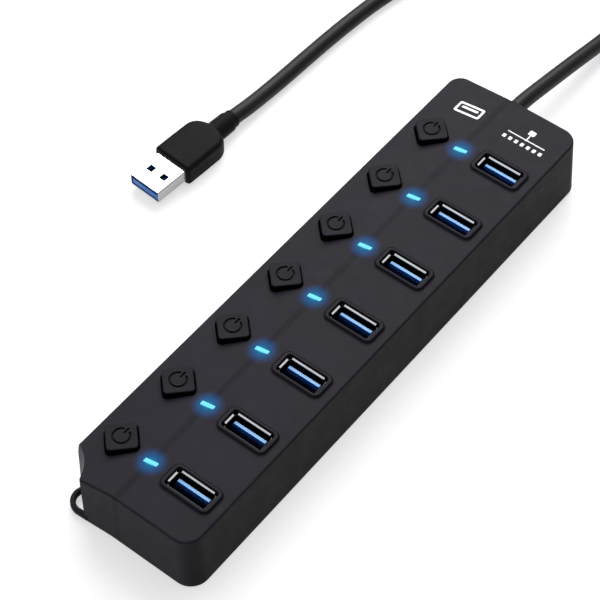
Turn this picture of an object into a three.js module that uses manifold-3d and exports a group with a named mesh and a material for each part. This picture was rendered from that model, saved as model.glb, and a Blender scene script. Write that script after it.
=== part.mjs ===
// Seven-port USB hub: a long drafted housing with seven upright sockets on its right half, a row
// of push buttons and indicator windows on its left half, and a captive lead that ends in a plug.
// Millimetres, +Z up. The origin is the middle of the footprint, on the surface that the hub
// stands on. +Y runs towards the end where the lead leaves, +X towards the sockets.

import * as THREE from 'three';
import { mergeVertices } from 'three/addons/utils/BufferGeometryUtils.js';
import Module from 'manifold-3d';

const wasm = await Module();
wasm.setup();

// ---------------------------------------------------------------- driving dimensions

const GAP = 0.3; // clearance between neighbouring pieces

// Housing. How far the left, right and end walls stand from the origin, at their foot and at the top
// face: the left wall is nearly upright and the others lean in.
const FOOT_WALLS = { left: 24.05, right: 24.05, end: 92.8 };
const TOP_WALLS = { left: 23.9, right: 22.7, end: 92.1 };
const BASE_HALF = [FOOT_WALLS.right, FOOT_WALLS.end];
const END_SPLAY = 0.9; // the ends stand this much farther out at the left corners than at the ridge
const CORNER_RADIUS = 5.8;
const CORNER_EASE = 0.5; // the corners are this much tighter at the top face
const WALL = 1.8;
const TOP_PLATE = 1.9;
const WALL_FOOT_Z = 0.5;
const TOP_Z = 20.8;
const EDGE_ROUND = 0.8;
const RIDGE_X = -3.1; // the top face bends here: flat to the right, falling to the left
const LEFT_SLOPE = 0.15;

// The near left corner is cut off by the plane x + y = -CORNER_CUT, and a round bar stands out of
// the cut to hold a strap.
const CORNER_CUT = 107.9;
const STRAP_RADIUS = 4.8;
const STRAP_CENTRE = [-17.5, STRAP_RADIUS - BASE_HALF[1] - END_SPLAY];
const STRAP_BAR = 1.6;
const STRAP_TOP_Z = 2.6;
const STRAP_SIDES = 36;

// Stations along the hub: each has one socket, one indicator window and one button.
const PORT_COUNT = 7;
const PORT_PITCH = 23.8;
const MIDDLE_PORT_Y = -5.75;
const PORT_X = 11.1;
const BUTTON_X = -14.7;
const BUTTON_OFFSET_Y = 1.2; // from the station towards the far end

// Sockets
const SHELL_HALF = [6.55, 2.86];
const SHELL_WALL = 0.3;
const SHELL_CORNER = 0.7;
const SHELL_TOP_Z = 20.9;
const COLLAR_HALF = [8.3, 4.3];
const COLLAR_CORNER = 2;
const COLLAR_TOP_Z = 21.6;
const COLLAR_EASE = 0.4;
const MOUTH_HALF = [7.0, 3.3];
const MOUTH_CORNER = 0.9;
const INSULATOR_TOP_Z = 9.5;
const TONGUE_HALF = [5.55, 0.92];
const TONGUE_OFFSET_Y = 0.95;
const TONGUE_TOP_Z = 19.1;

// Buttons: square caps with level faces, turned by 45 degrees, on push switches
const CAP_SIDE = 8.8;
const CAP_CORNER = 1.1;
const CAP_EASE = 0.25;
const CAP_PROUD = 2.2;
const CAP_MARGIN = 0.45; // between a cap and the edge of its opening
const CAP_BOTTOM_Z = 14.6;
const BUTTON_TRAVEL = 1.5;
const TAB_HALF = [1.5, 8.0];
const TAB_TOP_Z = 16.6;
const PLUNGER_SIDE = 3.2;
const PLUNGER_Z = [9.0, 17.0];
const SWITCH_SIDE = 7.0;
const SWITCH_TOP_Z = 12.4;
const SWITCH_WELL_Z = 7.0;

// Indicator light pipes. Their windows are bars whose long sides run askew to X.
const WINDOW_HALF = [2.0, 0.62];
const WINDOW_SKEW = 0.17;
const PIPE_CLEARANCE = 0.28;
const PIPE_STEM_HALF = [1.2, 0.4];
const PIPE_Z = [6.4, 17.0, 20.7]; // foot, shoulder, window face

// Circuit board and what stands on it
const BOARD_HALF = [20, 82.5];
const BOARD_CORNER = 2;
const BOARD_Z = [3.4, 5.0];
const ON_BOARD_Z = BOARD_Z[1] + GAP;
const CHIP_SIDE = 8.0;
const CHIP_HEIGHT = 1.0;
const CHIP_X = -3.2;
const PEG_X = [PORT_X, BUTTON_X];
const PEG_RADIUS = 1.4;
const PEG_TOP_Z = 6.4;
const PEG_SHOULDER_RADIUS = 2.6;

// Bottom cover, its screws and its feet
const COVER_BOTTOM_Z = 0.8;
const COVER_TOP_Z = 2.6;
const COVER_INSET = 2.3; // from the foot of the walls
const SCREW_PLACES = [[-9.2, -87], [14, -87], [-14, 87], [14, 87]]; // the first one clears a button
const BOSS_RADIUS = 2.7;
const HEAD_RADIUS = 2.1;
const HEAD_Z = [1.0, 1.7];
const HEAD_ROUND = 0.3;
const DRIVE = { depth: 0.4, floorRadius: 0.5, rimRadius: 0.9 };
const SHANK_RADIUS = 0.8;
const SHANK_TOP_Z = 10.5;
const FOOT_HALF = [17, 5];
const FOOT_CORNER = 3;
const FOOT_Y = 70;
const FOOT_HEIGHT = 0.5;

// Lead
const CORD_DIAMETER = 5.2;
const CORD_SIDES = 10;
const REST_Z = CORD_DIAMETER / 2;
const EXIT_X = -4.3;
const EXIT_Z = 10.6;
const GLAND = { flangeRadius: 5.2, neckRadius: 3.6, collarRadius: 4.3, endRadius: 3.2 };
const GLAND_FLANGE_Y = [87.6, 89.4];
const GLAND_COLLAR = 1.0; // thickness of the collar against the end wall
const GLAND_END_Y = 97.7;
const COIL_CENTRE = [-32, 196.3];
const COIL_RADIUS = 26.5; // at the middle of its turns
const COIL_CROWN = 2.9; // half width of the coil's top, where the upper turn lies

// Plug, lying flat. Its own frame has the tip at 0 and +Y towards the lead.
const PLUG_TIP = [-78.0, 5.6];
const PLUG_TURN = THREE.MathUtils.degToRad(-3.9);
const PLUG_Z = 3.9;
const PLUG_SHELL_HALF = [6.0, 2.25];
const PLUG_BARE = 12.2; // bare length of the steel shell
const PLUG_TAIL = 3.0; // shell length inside the overmould
const PLUG_WINDOW = { side: 2.4, x: 2.75, y: 5.9 };
const PLUG_INSERT = { start: 0.4, topZ: 0.1 };
const PLUG_END = 39.5;

// The overmould's sections: half width and half height, corner radius, distance from its front face
const OVERMOULD = [
  [[6.9, 3.5], 1.6, 0],
  [[7.3, PLUG_Z], 2.0, 0.5],
  [[7.3, PLUG_Z], 2.0, 13.5],
  [[6.6, 3.8], 2.6, 16.2],
  [[5.2, 3.7], 3.2, 18.0],
  [[3.7, 3.6], 3.4, 18.9],
  [[3.5, 3.5], 3.4, 19.4],
  [[3.4, 3.4], 3.3, 26.3],
  [[3.0, 3.0], 2.9, PLUG_END - PLUG_BARE],
];

const CORNER_STEPS = 5;
const BLADE = 60; // larger than anything that a cutting block has to reach across
const LAP = 1; // how far a joined or cutting solid runs past the face that it meets

// ---------------------------------------------------------------- solid helpers

function solid(geometry) {
  const bare = new THREE.BufferGeometry();
  bare.setAttribute('position', geometry.attributes.position);
  bare.setIndex(geometry.index);
  const merged = mergeVertices(bare, 1e-5);
  const vertProperties = new Float32Array(merged.attributes.position.array);
  const triVerts = new Uint32Array(merged.index.array);
  return new wasm.Manifold(new wasm.Mesh({ numProp: 3, vertProperties, triVerts }));
}

function geometryOf(manifold) {
  const mesh = manifold.getMesh();
  const geometry = new THREE.BufferGeometry();
  geometry.setAttribute('position', new THREE.BufferAttribute(mesh.vertProperties, 3));
  geometry.setIndex(new THREE.BufferAttribute(mesh.triVerts, 1));
  geometry.computeVertexNormals();
  return geometry;
}

function roundedRect([halfX, halfY], radius, x = 0, y = 0) {
  const shape = new THREE.Shape();
  shape.absarc(x + halfX - radius, y - halfY + radius, radius, -Math.PI / 2, 0);
  shape.absarc(x + halfX - radius, y + halfY - radius, radius, 0, Math.PI / 2);
  shape.absarc(x - halfX + radius, y + halfY - radius, radius, Math.PI / 2, Math.PI);
  shape.absarc(x - halfX + radius, y - halfY + radius, radius, Math.PI, 1.5 * Math.PI);
  return shape;
}

const grown = ([a, b], margin) => [a + margin, b + margin];

function prism(shape, bottomZ, topZ, curveSegments = 3) {
  const settings = { depth: topZ - bottomZ, bevelEnabled: false, curveSegments };
  return new THREE.ExtrudeGeometry(shape, settings).translate(0, 0, bottomZ);
}

function box([halfX, halfY], bottomZ, topZ, x = 0, y = 0) {
  const geometry = new THREE.BoxGeometry(2 * halfX, 2 * halfY, topZ - bottomZ);
  return geometry.translate(x, y, (bottomZ + topZ) / 2);
}

// A turned solid about the Z axis, from [radius, z] pairs that run outwards, up and back in.
function turned(profile, segments, x = 0, y = 0) {
  const points = profile.map(([radius, z]) => new THREE.Vector2(radius, z));
  return new THREE.LatheGeometry(points, segments).rotateX(Math.PI / 2).translate(x, y, 0);
}

function cylinder(radius, bottomZ, topZ, segments, x, y) {
  return turned([[0, bottomZ], [radius, bottomZ], [radius, topZ], [0, topZ]], segments, x, y);
}

// A closed skin through rings of equal point counts; each end is closed by the given fans.
function loft(rings, fans) {
  const count = rings[0].length;
  const last = (rings.length - 1) * count;
  const positions = rings.flat().flatMap((point) => point.toArray());
  const index = [];
  for (let low = 0; low < last; low += count) {
    for (let i = 0; i < count; i += 1) {
      const next = (i + 1) % count;
      index.push(low + i, low + next, low + count + next);
      index.push(low + i, low + count + next, low + count + i);
    }
  }
  for (const fan of fans(count)) {
    for (let i = 1; i < fan.length - 1; i += 1) {
      index.push(fan[0], fan[i + 1], fan[i]);
      index.push(last + fan[0], last + fan[i], last + fan[i + 1]);
    }
  }
  const geometry = new THREE.BufferGeometry();
  geometry.setAttribute('position', new THREE.Float32BufferAttribute(positions, 3));
  return geometry.setIndex(index);
}

const indices = (count) => [...Array(count).keys()];
const singleFan = (count) => [indices(count)];

// ---------------------------------------------------------------- shared layout

const stations = indices(PORT_COUNT).map((i) => {
  const y = MIDDLE_PORT_Y + ((PORT_COUNT - 1) / 2 - i) * PORT_PITCH;
  return { number: i + 1, y, buttonY: y + BUTTON_OFFSET_Y };
});
const betweenStations = (i) => stations[i].y - PORT_PITCH / 2;
const pegPlaces = PEG_X.flatMap((x) => [[x, betweenStations(0)], [x, betweenStations(5)]]);
const chipPlaces = [[CHIP_X, betweenStations(1)], [CHIP_X, betweenStations(4)]];

const topSurfaceZ = (x) => TOP_Z - Math.max(0, RIDGE_X - x) * LEFT_SLOPE;

const shrunk = ({ left, right, end }, by) => ({ left: left - by, right: right - by, end: end - by });

// One closed ring around the housing, with a point at each end of the ridge. It starts at the
// near end of the ridge.
function housingRing({ left, right, end }, radius, heightAt) {
  const inLeft = radius - left;
  const inRight = right - radius;
  const inY = end - radius;
  const splayedY = inY + END_SPLAY;
  const corner = (x, y, start) => indices(CORNER_STEPS + 1).map((step) => {
    const angle = start + (step / CORNER_STEPS) * (Math.PI / 2);
    return [x + radius * Math.cos(angle), y + radius * Math.sin(angle)];
  });
  const outline = [
    [RIDGE_X, -end], ...corner(inRight, -inY, -Math.PI / 2), ...corner(inRight, inY, 0),
    [RIDGE_X, end], ...corner(inLeft, splayedY, Math.PI / 2), ...corner(inLeft, -splayedY, Math.PI),
  ];
  return outline.map(([x, y]) => new THREE.Vector3(x, y, heightAt(x)));
}

// The end faces fold along the ridge, so each is closed by one fan on either side of it.
function ridgeFans(count) {
  const farEnd = count / 2;
  return [indices(count).slice(0, farEnd + 1), [...indices(count).slice(farEnd), 0]];
}

// The outer form of the housing, moved inwards by inset and cut down by plate.
function housingForm(inset, plate, footZ, round) {
  const radius = CORNER_RADIUS - inset;
  const middle = round * (1 - Math.SQRT1_2);
  const edge = [[round, 0], [middle, middle], [0, round]];
  const rings = (round > 0 ? edge : [[0, 0]]).map(([depth, step]) => housingRing(
    shrunk(TOP_WALLS, inset + step),
    radius - CORNER_EASE - step,
    (x) => topSurfaceZ(x) - plate - depth,
  ));
  rings.unshift(housingRing(shrunk(FOOT_WALLS, inset), radius, () => footZ));
  return solid(loft(rings, ridgeFans));
}

// All that lies beyond the plane x + y = -distance near the cut corner, between two heights.
function beyondCorner(distance, bottomZ, topZ) {
  const block = box([BLADE / 2, BLADE / 2], bottomZ, topZ).rotateZ(Math.PI / 4);
  const out = -(distance + BLADE / Math.SQRT2) / 2;
  const aside = (BASE_HALF[1] - BASE_HALF[0]) / 2;
  return solid(block.translate(out + aside, out - aside, 0));
}

const INNER_CUT = CORNER_CUT - WALL * Math.SQRT2;

function windowBar(margin, y) {
  const [halfX, halfY] = grown(WINDOW_HALF, margin);
  const lean = halfX * WINDOW_SKEW;
  return new THREE.Shape([
    new THREE.Vector2(RIDGE_X - halfX, y - halfY - lean),
    new THREE.Vector2(RIDGE_X + halfX, y - halfY + lean),
    new THREE.Vector2(RIDGE_X + halfX, y + halfY + lean),
    new THREE.Vector2(RIDGE_X - halfX, y + halfY - lean),
  ]);
}

function diamondOutline(side, radius) {
  const points = roundedRect([side / 2, side / 2], radius).getPoints(2);
  return points.slice(0, -1).map((point) => point.rotateAround(new THREE.Vector2(), Math.PI / 4));
}

// ---------------------------------------------------------------- housing pieces

function topCover() {
  const above = COLLAR_TOP_Z + LAP;
  const outer = housingForm(0, 0, WALL_FOOT_Z, EDGE_ROUND);
  const inner = housingForm(WALL, TOP_PLATE, -LAP, 0).subtract(beyondCorner(INNER_CUT, -BLADE, BLADE));
  const bar = solid(cylinder(STRAP_RADIUS, -LAP, STRAP_TOP_Z, STRAP_SIDES, ...STRAP_CENTRE))
    .subtract(solid(cylinder(STRAP_RADIUS - STRAP_BAR, -BLADE, BLADE, STRAP_SIDES, ...STRAP_CENTRE)));
  let cover = outer.subtract(beyondCorner(CORNER_CUT, -BLADE, above).subtract(bar)).subtract(inner);

  for (const [x, y] of SCREW_PLACES) {
    const bossTop = topSurfaceZ(x) - TOP_PLATE / 2;
    const boss = cylinder(BOSS_RADIUS, COVER_TOP_Z + GAP, bossTop, 12, x, y);
    const pilot = cylinder(SHANK_RADIUS + GAP, 0, SHANK_TOP_Z + LAP, 8, x, y);
    cover = cover.add(solid(boss)).subtract(solid(pilot));
  }

  for (const { y, buttonY } of stations) {
    const collar = roundedRect(COLLAR_HALF, COLLAR_CORNER, PORT_X, y);
    const crownHalf = grown(COLLAR_HALF, -COLLAR_EASE);
    const crown = roundedRect(crownHalf, COLLAR_CORNER - COLLAR_EASE, PORT_X, y);
    const mouth = roundedRect(MOUTH_HALF, MOUTH_CORNER, PORT_X, y);
    cover = cover.add(solid(prism(collar, TOP_Z - LAP, COLLAR_TOP_Z - COLLAR_EASE)));
    cover = cover.add(solid(prism(crown, TOP_Z - LAP, COLLAR_TOP_Z)));
    cover = cover.subtract(solid(prism(mouth, TOP_Z - TOP_PLATE - LAP, above)));

    const opening = new THREE.Shape(diamondOutline(CAP_SIDE + 2 * CAP_MARGIN, CAP_CORNER + CAP_MARGIN));
    const well = prism(opening, CAP_BOTTOM_Z - BUTTON_TRAVEL - GAP, above);
    cover = cover.subtract(solid(well.translate(BUTTON_X, buttonY, 0)));
    cover = cover.subtract(solid(prism(windowBar(PIPE_CLEARANCE, y), PIPE_Z[1] - GAP, above)));
  }

  const holeRadius = GLAND.neckRadius + GAP;
  const exit = new THREE.CylinderGeometry(holeRadius, holeRadius, 4 * WALL, 16);
  cover = cover.subtract(solid(exit.translate(EXIT_X, BASE_HALF[1], EXIT_Z)));
  return geometryOf(cover);
}

function bottomCover() {
  const outline = roundedRect(grown(BASE_HALF, -COVER_INSET), CORNER_RADIUS - COVER_INSET);
  let cover = solid(prism(outline, COVER_BOTTOM_Z, COVER_TOP_Z, CORNER_STEPS));
  cover = cover.subtract(beyondCorner(INNER_CUT - GAP * Math.SQRT2, 0, COVER_TOP_Z + LAP));
  for (const [x, y] of SCREW_PLACES) {
    const seatZ = HEAD_Z[1] + GAP;
    cover = cover.subtract(solid(cylinder(HEAD_RADIUS + GAP, 0, seatZ, 12, x, y)));
    cover = cover.subtract(solid(cylinder(SHANK_RADIUS + GAP, 0, COVER_TOP_Z + LAP, 8, x, y)));
  }
  const pegFoot = COVER_TOP_Z - LAP;
  const shoulderZ = BOARD_Z[0] - GAP;
  for (const [x, y] of pegPlaces) {
    cover = cover.add(solid(turned([
      [0, pegFoot], [PEG_SHOULDER_RADIUS, pegFoot], [PEG_SHOULDER_RADIUS, shoulderZ],
      [PEG_RADIUS, shoulderZ], [PEG_RADIUS, PEG_TOP_Z], [0, PEG_TOP_Z],
    ], 10, x, y)));
  }
  return geometryOf(cover);
}

function screw([x, y]) {
  const [under, seat] = HEAD_Z;
  return turned([
    [0, under + DRIVE.depth], [DRIVE.floorRadius, under + DRIVE.depth], [DRIVE.rimRadius, under],
    [HEAD_RADIUS - HEAD_ROUND, under], [HEAD_RADIUS, under + HEAD_ROUND], [HEAD_RADIUS, seat],
    [SHANK_RADIUS, seat], [SHANK_RADIUS, SHANK_TOP_Z - SHANK_RADIUS], [0, SHANK_TOP_Z],
  ], 12, x, y);
}

function foot(y) {
  const pad = roundedRect(FOOT_HALF, FOOT_CORNER, 0, y);
  return prism(pad, 0, FOOT_HEIGHT, 4);
}

// ---------------------------------------------------------------- inside pieces

function circuitBoard() {
  let board = solid(prism(roundedRect(BOARD_HALF, BOARD_CORNER), ...BOARD_Z, 2));
  for (const [x, y] of pegPlaces) {
    board = board.subtract(solid(cylinder(PEG_RADIUS + GAP, 0, BOARD_Z[1] + LAP, 10, x, y)));
  }
  return geometryOf(board);
}

function hubChip([x, y]) {
  return box([CHIP_SIDE / 2, CHIP_SIDE / 2], ON_BOARD_Z, ON_BOARD_Z + CHIP_HEIGHT, x, y);
}

function portShell(y) {
  const outside = roundedRect(SHELL_HALF, SHELL_CORNER, PORT_X, y);
  const inside = roundedRect(grown(SHELL_HALF, -SHELL_WALL), SHELL_CORNER - SHELL_WALL, PORT_X, y);
  const tube = solid(prism(outside, ON_BOARD_Z, SHELL_TOP_Z, 2));
  return geometryOf(tube.subtract(solid(prism(inside, 0, SHELL_TOP_Z + LAP, 2))));
}

function portInsulator(y) {
  const base = box(grown(SHELL_HALF, -SHELL_WALL - GAP), ON_BOARD_Z, INSULATOR_TOP_Z, PORT_X, y);
  const tongue = box(TONGUE_HALF, ON_BOARD_Z, TONGUE_TOP_Z, PORT_X, y + TONGUE_OFFSET_Y);
  return geometryOf(solid(base).add(solid(tongue)));
}

function switchHousing(y) {
  const half = [SWITCH_SIDE / 2, SWITCH_SIDE / 2];
  const well = grown([PLUNGER_SIDE / 2, PLUNGER_SIDE / 2], GAP);
  const body = solid(box(half, ON_BOARD_Z, SWITCH_TOP_Z, BUTTON_X, y));
  return geometryOf(body.subtract(solid(box(well, SWITCH_WELL_Z, SWITCH_TOP_Z + LAP, BUTTON_X, y))));
}

function switchPlunger(y) {
  return box([PLUNGER_SIDE / 2, PLUNGER_SIDE / 2], ...PLUNGER_Z, BUTTON_X, y);
}

function buttonCap(y) {
  const top = topSurfaceZ(BUTTON_X) + CAP_PROUD;
  const ring = (inset, z) => diamondOutline(CAP_SIDE - 2 * inset, CAP_CORNER - inset)
    .map((point) => new THREE.Vector3(BUTTON_X + point.x, y + point.y, z));
  const rings = [ring(0, CAP_BOTTOM_Z), ring(0, top - CAP_EASE), ring(CAP_EASE, top)];
  const socket = grown([PLUNGER_SIDE / 2, PLUNGER_SIDE / 2], GAP);
  let cap = solid(loft(rings, singleFan));
  cap = cap.add(solid(box(TAB_HALF, CAP_BOTTOM_Z, TAB_TOP_Z, BUTTON_X, y)));
  cap = cap.subtract(solid(box(socket, CAP_BOTTOM_Z - LAP, PLUNGER_Z[1] + GAP, BUTTON_X, y)));
  return geometryOf(cap);
}

function lightPipe(y) {
  const stem = box(PIPE_STEM_HALF, PIPE_Z[0], PIPE_Z[1] + LAP, RIDGE_X, y);
  const head = prism(windowBar(0, y), PIPE_Z[1], PIPE_Z[2]);
  return geometryOf(solid(stem).add(solid(head)));
}

// ---------------------------------------------------------------- lead

function gland() {
  const { flangeRadius, neckRadius, collarRadius, endRadius } = GLAND;
  const [flangeStart, flangeEnd] = GLAND_FLANGE_Y;
  const wall = FOOT_WALLS.end;
  const profile = [
    [0, flangeStart], [flangeRadius, flangeStart], [flangeRadius, flangeEnd], [neckRadius, flangeEnd],
    [neckRadius, wall], [collarRadius, wall], [collarRadius, wall + GLAND_COLLAR],
    [endRadius, GLAND_END_Y], [0, GLAND_END_Y],
  ].map(([radius, along]) => new THREE.Vector2(radius, along));
  return new THREE.LatheGeometry(profile, 16).translate(EXIT_X, 0, EXIT_Z);
}

const coilOuter = COIL_RADIUS + CORD_DIAMETER;
const coilInner = COIL_RADIUS - CORD_DIAMETER;
const coilTopZ = CORD_DIAMETER * (1 + Math.sqrt(0.75));

// From the gland down to the surface, then along it to the outer turn of the coil.
const runPoints = [
  [EXIT_X, GLAND_END_Y + GAP, EXIT_Z], [-4.2, 103.5, 10.2], [-3.9, 110, 9.4], [-3.5, 117, 8.5],
  [-3.1, 124, 7.6], [-2.7, 131, 6.6], [-2.3, 138, 5.5], [-2.0, 145, 4.4], [-1.9, 152, 3.4],
  [-1.9, 159, 2.8], [-2.2, 165.5, REST_Z], [-2.6, 172, REST_Z], [-2.9, 178, REST_Z],
];

const plugFrame = new THREE.Matrix4().makeRotationZ(PLUG_TURN);
plugFrame.setPosition(PLUG_TIP[0], PLUG_TIP[1], PLUG_Z);
const plugPoint = (along, height) => new THREE.Vector3(0, along, height).applyMatrix4(plugFrame).toArray();

// From the top of the coil down to the surface, then along it to the back of the plug.
const returnPoints = [
  [-58.7, 174.6, 6.9], [-59.9, 167, 5.2], [-61.5, 159.5, 3.6], [-63.4, 152, 2.8], [-65.5, 144.5, REST_Z],
  [-67.8, 135.5, REST_Z], [-70.0, 125.5, REST_Z], [-71.8, 115, REST_Z], [-72.9, 103.5, REST_Z],
  [-73.6, 92, REST_Z], [-74.0, 80.5, REST_Z], [-74.3, 70, REST_Z], [-74.6, 60.5, 2.8],
  plugPoint(PLUG_END + 7, -0.5), plugPoint(PLUG_END + GAP, 0),
];

function cord(points, steps) {
  const section = new THREE.Shape(indices(CORD_SIDES).map((i) => {
    const angle = (2 * Math.PI * i) / CORD_SIDES;
    return new THREE.Vector2(REST_Z * Math.cos(angle), REST_Z * Math.sin(angle));
  }));
  const extrudePath = new THREE.CatmullRomCurve3(points.map((point) => new THREE.Vector3(...point)));
  return new THREE.ExtrudeGeometry(section, { steps, extrudePath, bevelEnabled: false });
}

function coil() {
  return turned([
    [coilInner, 0], [coilOuter, 0], [coilOuter, CORD_DIAMETER], [COIL_RADIUS + COIL_CROWN, coilTopZ],
    [COIL_RADIUS - COIL_CROWN, coilTopZ], [coilInner, CORD_DIAMETER], [coilInner, 0],
  ], 32, ...COIL_CENTRE);
}

// ---------------------------------------------------------------- plug

// A rounded rectangle standing across the plug's axis.
function plugRing([halfX, halfZ], radius, along) {
  const outline = roundedRect([halfX, halfZ], radius).getPoints(3).slice(0, -1);
  return outline.reverse().map(({ x, y }) => new THREE.Vector3(x, along, y));
}

function plugTube(half, radius, from, to) {
  return solid(loft([plugRing(half, radius, from), plugRing(half, radius, to)], singleFan));
}

function plugShell() {
  const length = PLUG_BARE + PLUG_TAIL;
  const inside = grown(PLUG_SHELL_HALF, -SHELL_WALL);
  let shell = plugTube(PLUG_SHELL_HALF, SHELL_CORNER, 0, length);
  shell = shell.subtract(plugTube(inside, SHELL_CORNER - SHELL_WALL, -LAP, length + LAP));
  for (const x of [-PLUG_WINDOW.x, PLUG_WINDOW.x]) {
    const half = [PLUG_WINDOW.side / 2, PLUG_WINDOW.side / 2];
    shell = shell.subtract(solid(box(half, -PLUG_Z, PLUG_Z, x, PLUG_WINDOW.y)));
  }
  return geometryOf(shell);
}

function plugInsulator() {
  const halfX = PLUG_SHELL_HALF[0] - SHELL_WALL - GAP;
  const bottom = -PLUG_SHELL_HALF[1] + SHELL_WALL + GAP;
  const insertMiddle = PLUG_INSERT.start + PLUG_BARE / 2;
  const insert = box([halfX, PLUG_BARE / 2], bottom, PLUG_INSERT.topZ, 0, insertMiddle);
  const block = box([halfX, PLUG_TAIL / 2], bottom, -bottom, 0, PLUG_BARE + PLUG_TAIL / 2 - GAP);
  return geometryOf(solid(insert).add(solid(block)));
}

function plugOvermould() {
  const rings = OVERMOULD.map(([half, radius, along]) => plugRing(half, radius, PLUG_BARE + along));
  const pocketHalf = grown(PLUG_SHELL_HALF, GAP);
  const pocketEnd = PLUG_BARE + PLUG_TAIL + GAP;
  const pocket = plugTube(pocketHalf, SHELL_CORNER + GAP, PLUG_BARE - LAP, pocketEnd);
  return geometryOf(solid(loft(rings, singleFan)).subtract(pocket));
}

// ---------------------------------------------------------------- materials and assembly

function material(color, roughness, metalness = 0) {
  return new THREE.MeshStandardMaterial({ color, roughness, metalness });
}

const finish = {
  housing: material(0x2b2b2f, 0.5),
  button: material(0x26262a, 0.55),
  rubber: material(0x1b1b1d, 0.8),
  steel: material(0xc9ccd0, 0.28, 1),
  blue: material(0x1f66c4, 0.42),
  switchBody: material(0x1d1d20, 0.5),
  plunger: material(0xe6e6e2, 0.5),
  lightPipe: material(0x8fe6ff, 0.2),
  board: material(0x17613a, 0.45),
  chip: material(0x141416, 0.4),
  cord: material(0x222225, 0.5),
  screw: material(0x8d9096, 0.35, 1),
};

const hub = new THREE.Group();

function add(parent, name, geometry, look) {
  const mesh = new THREE.Mesh(geometry, look);
  mesh.name = name;
  parent.add(mesh);
}

add(hub, 'top_cover', topCover(), finish.housing);
add(hub, 'bottom_cover', bottomCover(), finish.housing);
add(hub, 'circuit_board', circuitBoard(), finish.board);
chipPlaces.forEach((place, i) => add(hub, `hub_chip_${i + 1}`, hubChip(place), finish.chip));
SCREW_PLACES.forEach((place, i) => add(hub, `screw_${i + 1}`, screw(place), finish.screw));
add(hub, 'foot_front', foot(-FOOT_Y), finish.rubber);
add(hub, 'foot_rear', foot(FOOT_Y), finish.rubber);

for (const { number, y, buttonY } of stations) {
  add(hub, `port_shell_${number}`, portShell(y), finish.steel);
  add(hub, `port_insulator_${number}`, portInsulator(y), finish.blue);
  add(hub, `led_light_pipe_${number}`, lightPipe(y), finish.lightPipe);
  add(hub, `switch_housing_${number}`, switchHousing(buttonY), finish.switchBody);
  add(hub, `switch_plunger_${number}`, switchPlunger(buttonY), finish.plunger);
  add(hub, `button_cap_${number}`, buttonCap(buttonY), finish.button);
}

add(hub, 'cable_gland', gland(), finish.rubber);
add(hub, 'cable_run', cord(runPoints, 26), finish.cord);
add(hub, 'cable_coil', coil(), finish.cord);
add(hub, 'cable_return', cord(returnPoints, 34), finish.cord);

const plug = new THREE.Group();
plug.applyMatrix4(plugFrame);
add(plug, 'plug_shell', plugShell(), finish.steel);
add(plug, 'plug_insulator', plugInsulator(), finish.blue);
add(plug, 'plug_overmould', plugOvermould(), finish.rubber);
hub.add(plug);

export default hub;
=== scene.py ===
# A seven-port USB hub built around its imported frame: the moulded housing with its collars and
# openings, the buttons, the glowing windows, the sockets, and the lead with its coil and plug.
# Shapes are made in millimetres and become metres when they are turned into pieces.

import math

import bmesh
import bpy
from mathutils import Matrix, Vector

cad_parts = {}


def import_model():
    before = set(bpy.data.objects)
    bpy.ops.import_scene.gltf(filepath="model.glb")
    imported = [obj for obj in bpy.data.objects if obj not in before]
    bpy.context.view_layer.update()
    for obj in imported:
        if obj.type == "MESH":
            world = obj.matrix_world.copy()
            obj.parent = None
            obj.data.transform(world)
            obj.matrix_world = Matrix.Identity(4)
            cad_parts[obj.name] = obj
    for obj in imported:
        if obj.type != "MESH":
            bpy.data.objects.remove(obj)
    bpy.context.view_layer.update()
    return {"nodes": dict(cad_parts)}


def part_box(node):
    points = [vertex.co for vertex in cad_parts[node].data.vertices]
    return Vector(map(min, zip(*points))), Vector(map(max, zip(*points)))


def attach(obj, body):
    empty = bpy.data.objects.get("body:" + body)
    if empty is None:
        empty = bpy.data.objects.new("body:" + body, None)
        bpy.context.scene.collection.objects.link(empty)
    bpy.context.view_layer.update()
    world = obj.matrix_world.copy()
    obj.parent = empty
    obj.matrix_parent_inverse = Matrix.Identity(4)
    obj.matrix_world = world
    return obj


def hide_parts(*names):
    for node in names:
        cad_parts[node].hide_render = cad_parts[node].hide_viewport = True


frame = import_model()
MM = 0.001


def span(node):
    """The lowest and highest corners of a CAD node, in millimetres."""
    low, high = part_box(node)
    return low / MM, high / MM


def middle(node):
    low, high = span(node)
    return (low + high) / 2


# ---------------------------------------------------------------- driving dimensions

PORTS = range(1, 8)
STATION_Y = [middle(f"port_shell_{k}").y for k in PORTS]
PORT_PITCH = STATION_Y[0] - STATION_Y[1]
PORT_X = middle("port_shell_1").x
BUTTON_X = middle("button_cap_1").x
BUTTON_Y = [middle(f"button_cap_{k}").y for k in PORTS]
RIDGE_X = middle("led_light_pipe_1").x

END_SPLAY = 0.9  # the ends stand this much farther out at the left corners than at the ridge
BASE_HALF = span("top_cover")[1].xy - Vector((0, END_SPLAY))
COLLAR_TOP_Z = span("top_cover")[1].z
WALL_FOOT_Z = span("top_cover")[0].z
COLLAR_RISE = 0.8
TOP_Z = COLLAR_TOP_Z - COLLAR_RISE
LEFT_DRAFT = 0.15  # how far each wall leans in by the time it reaches the top
RIGHT_DRAFT = 1.35
END_DRAFT = 0.7
CORNER_RADIUS = 5.8
LEFT_CORNER_RADIUS = 4.4
CORNER_EASE = 0.4  # all corners are this much tighter at the top
EDGE_ROUND = 0.7
FOOT_ROUND = 0.15
WALL = 1.8
TOP_PLATE = 1.9
LEFT_SLOPE = 0.15
RIDGE_EASE = 1.0  # half width of the soft bend in the top face
RIDGE_GROOVE = 0.24  # depth of the shallow valley along the bend

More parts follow.
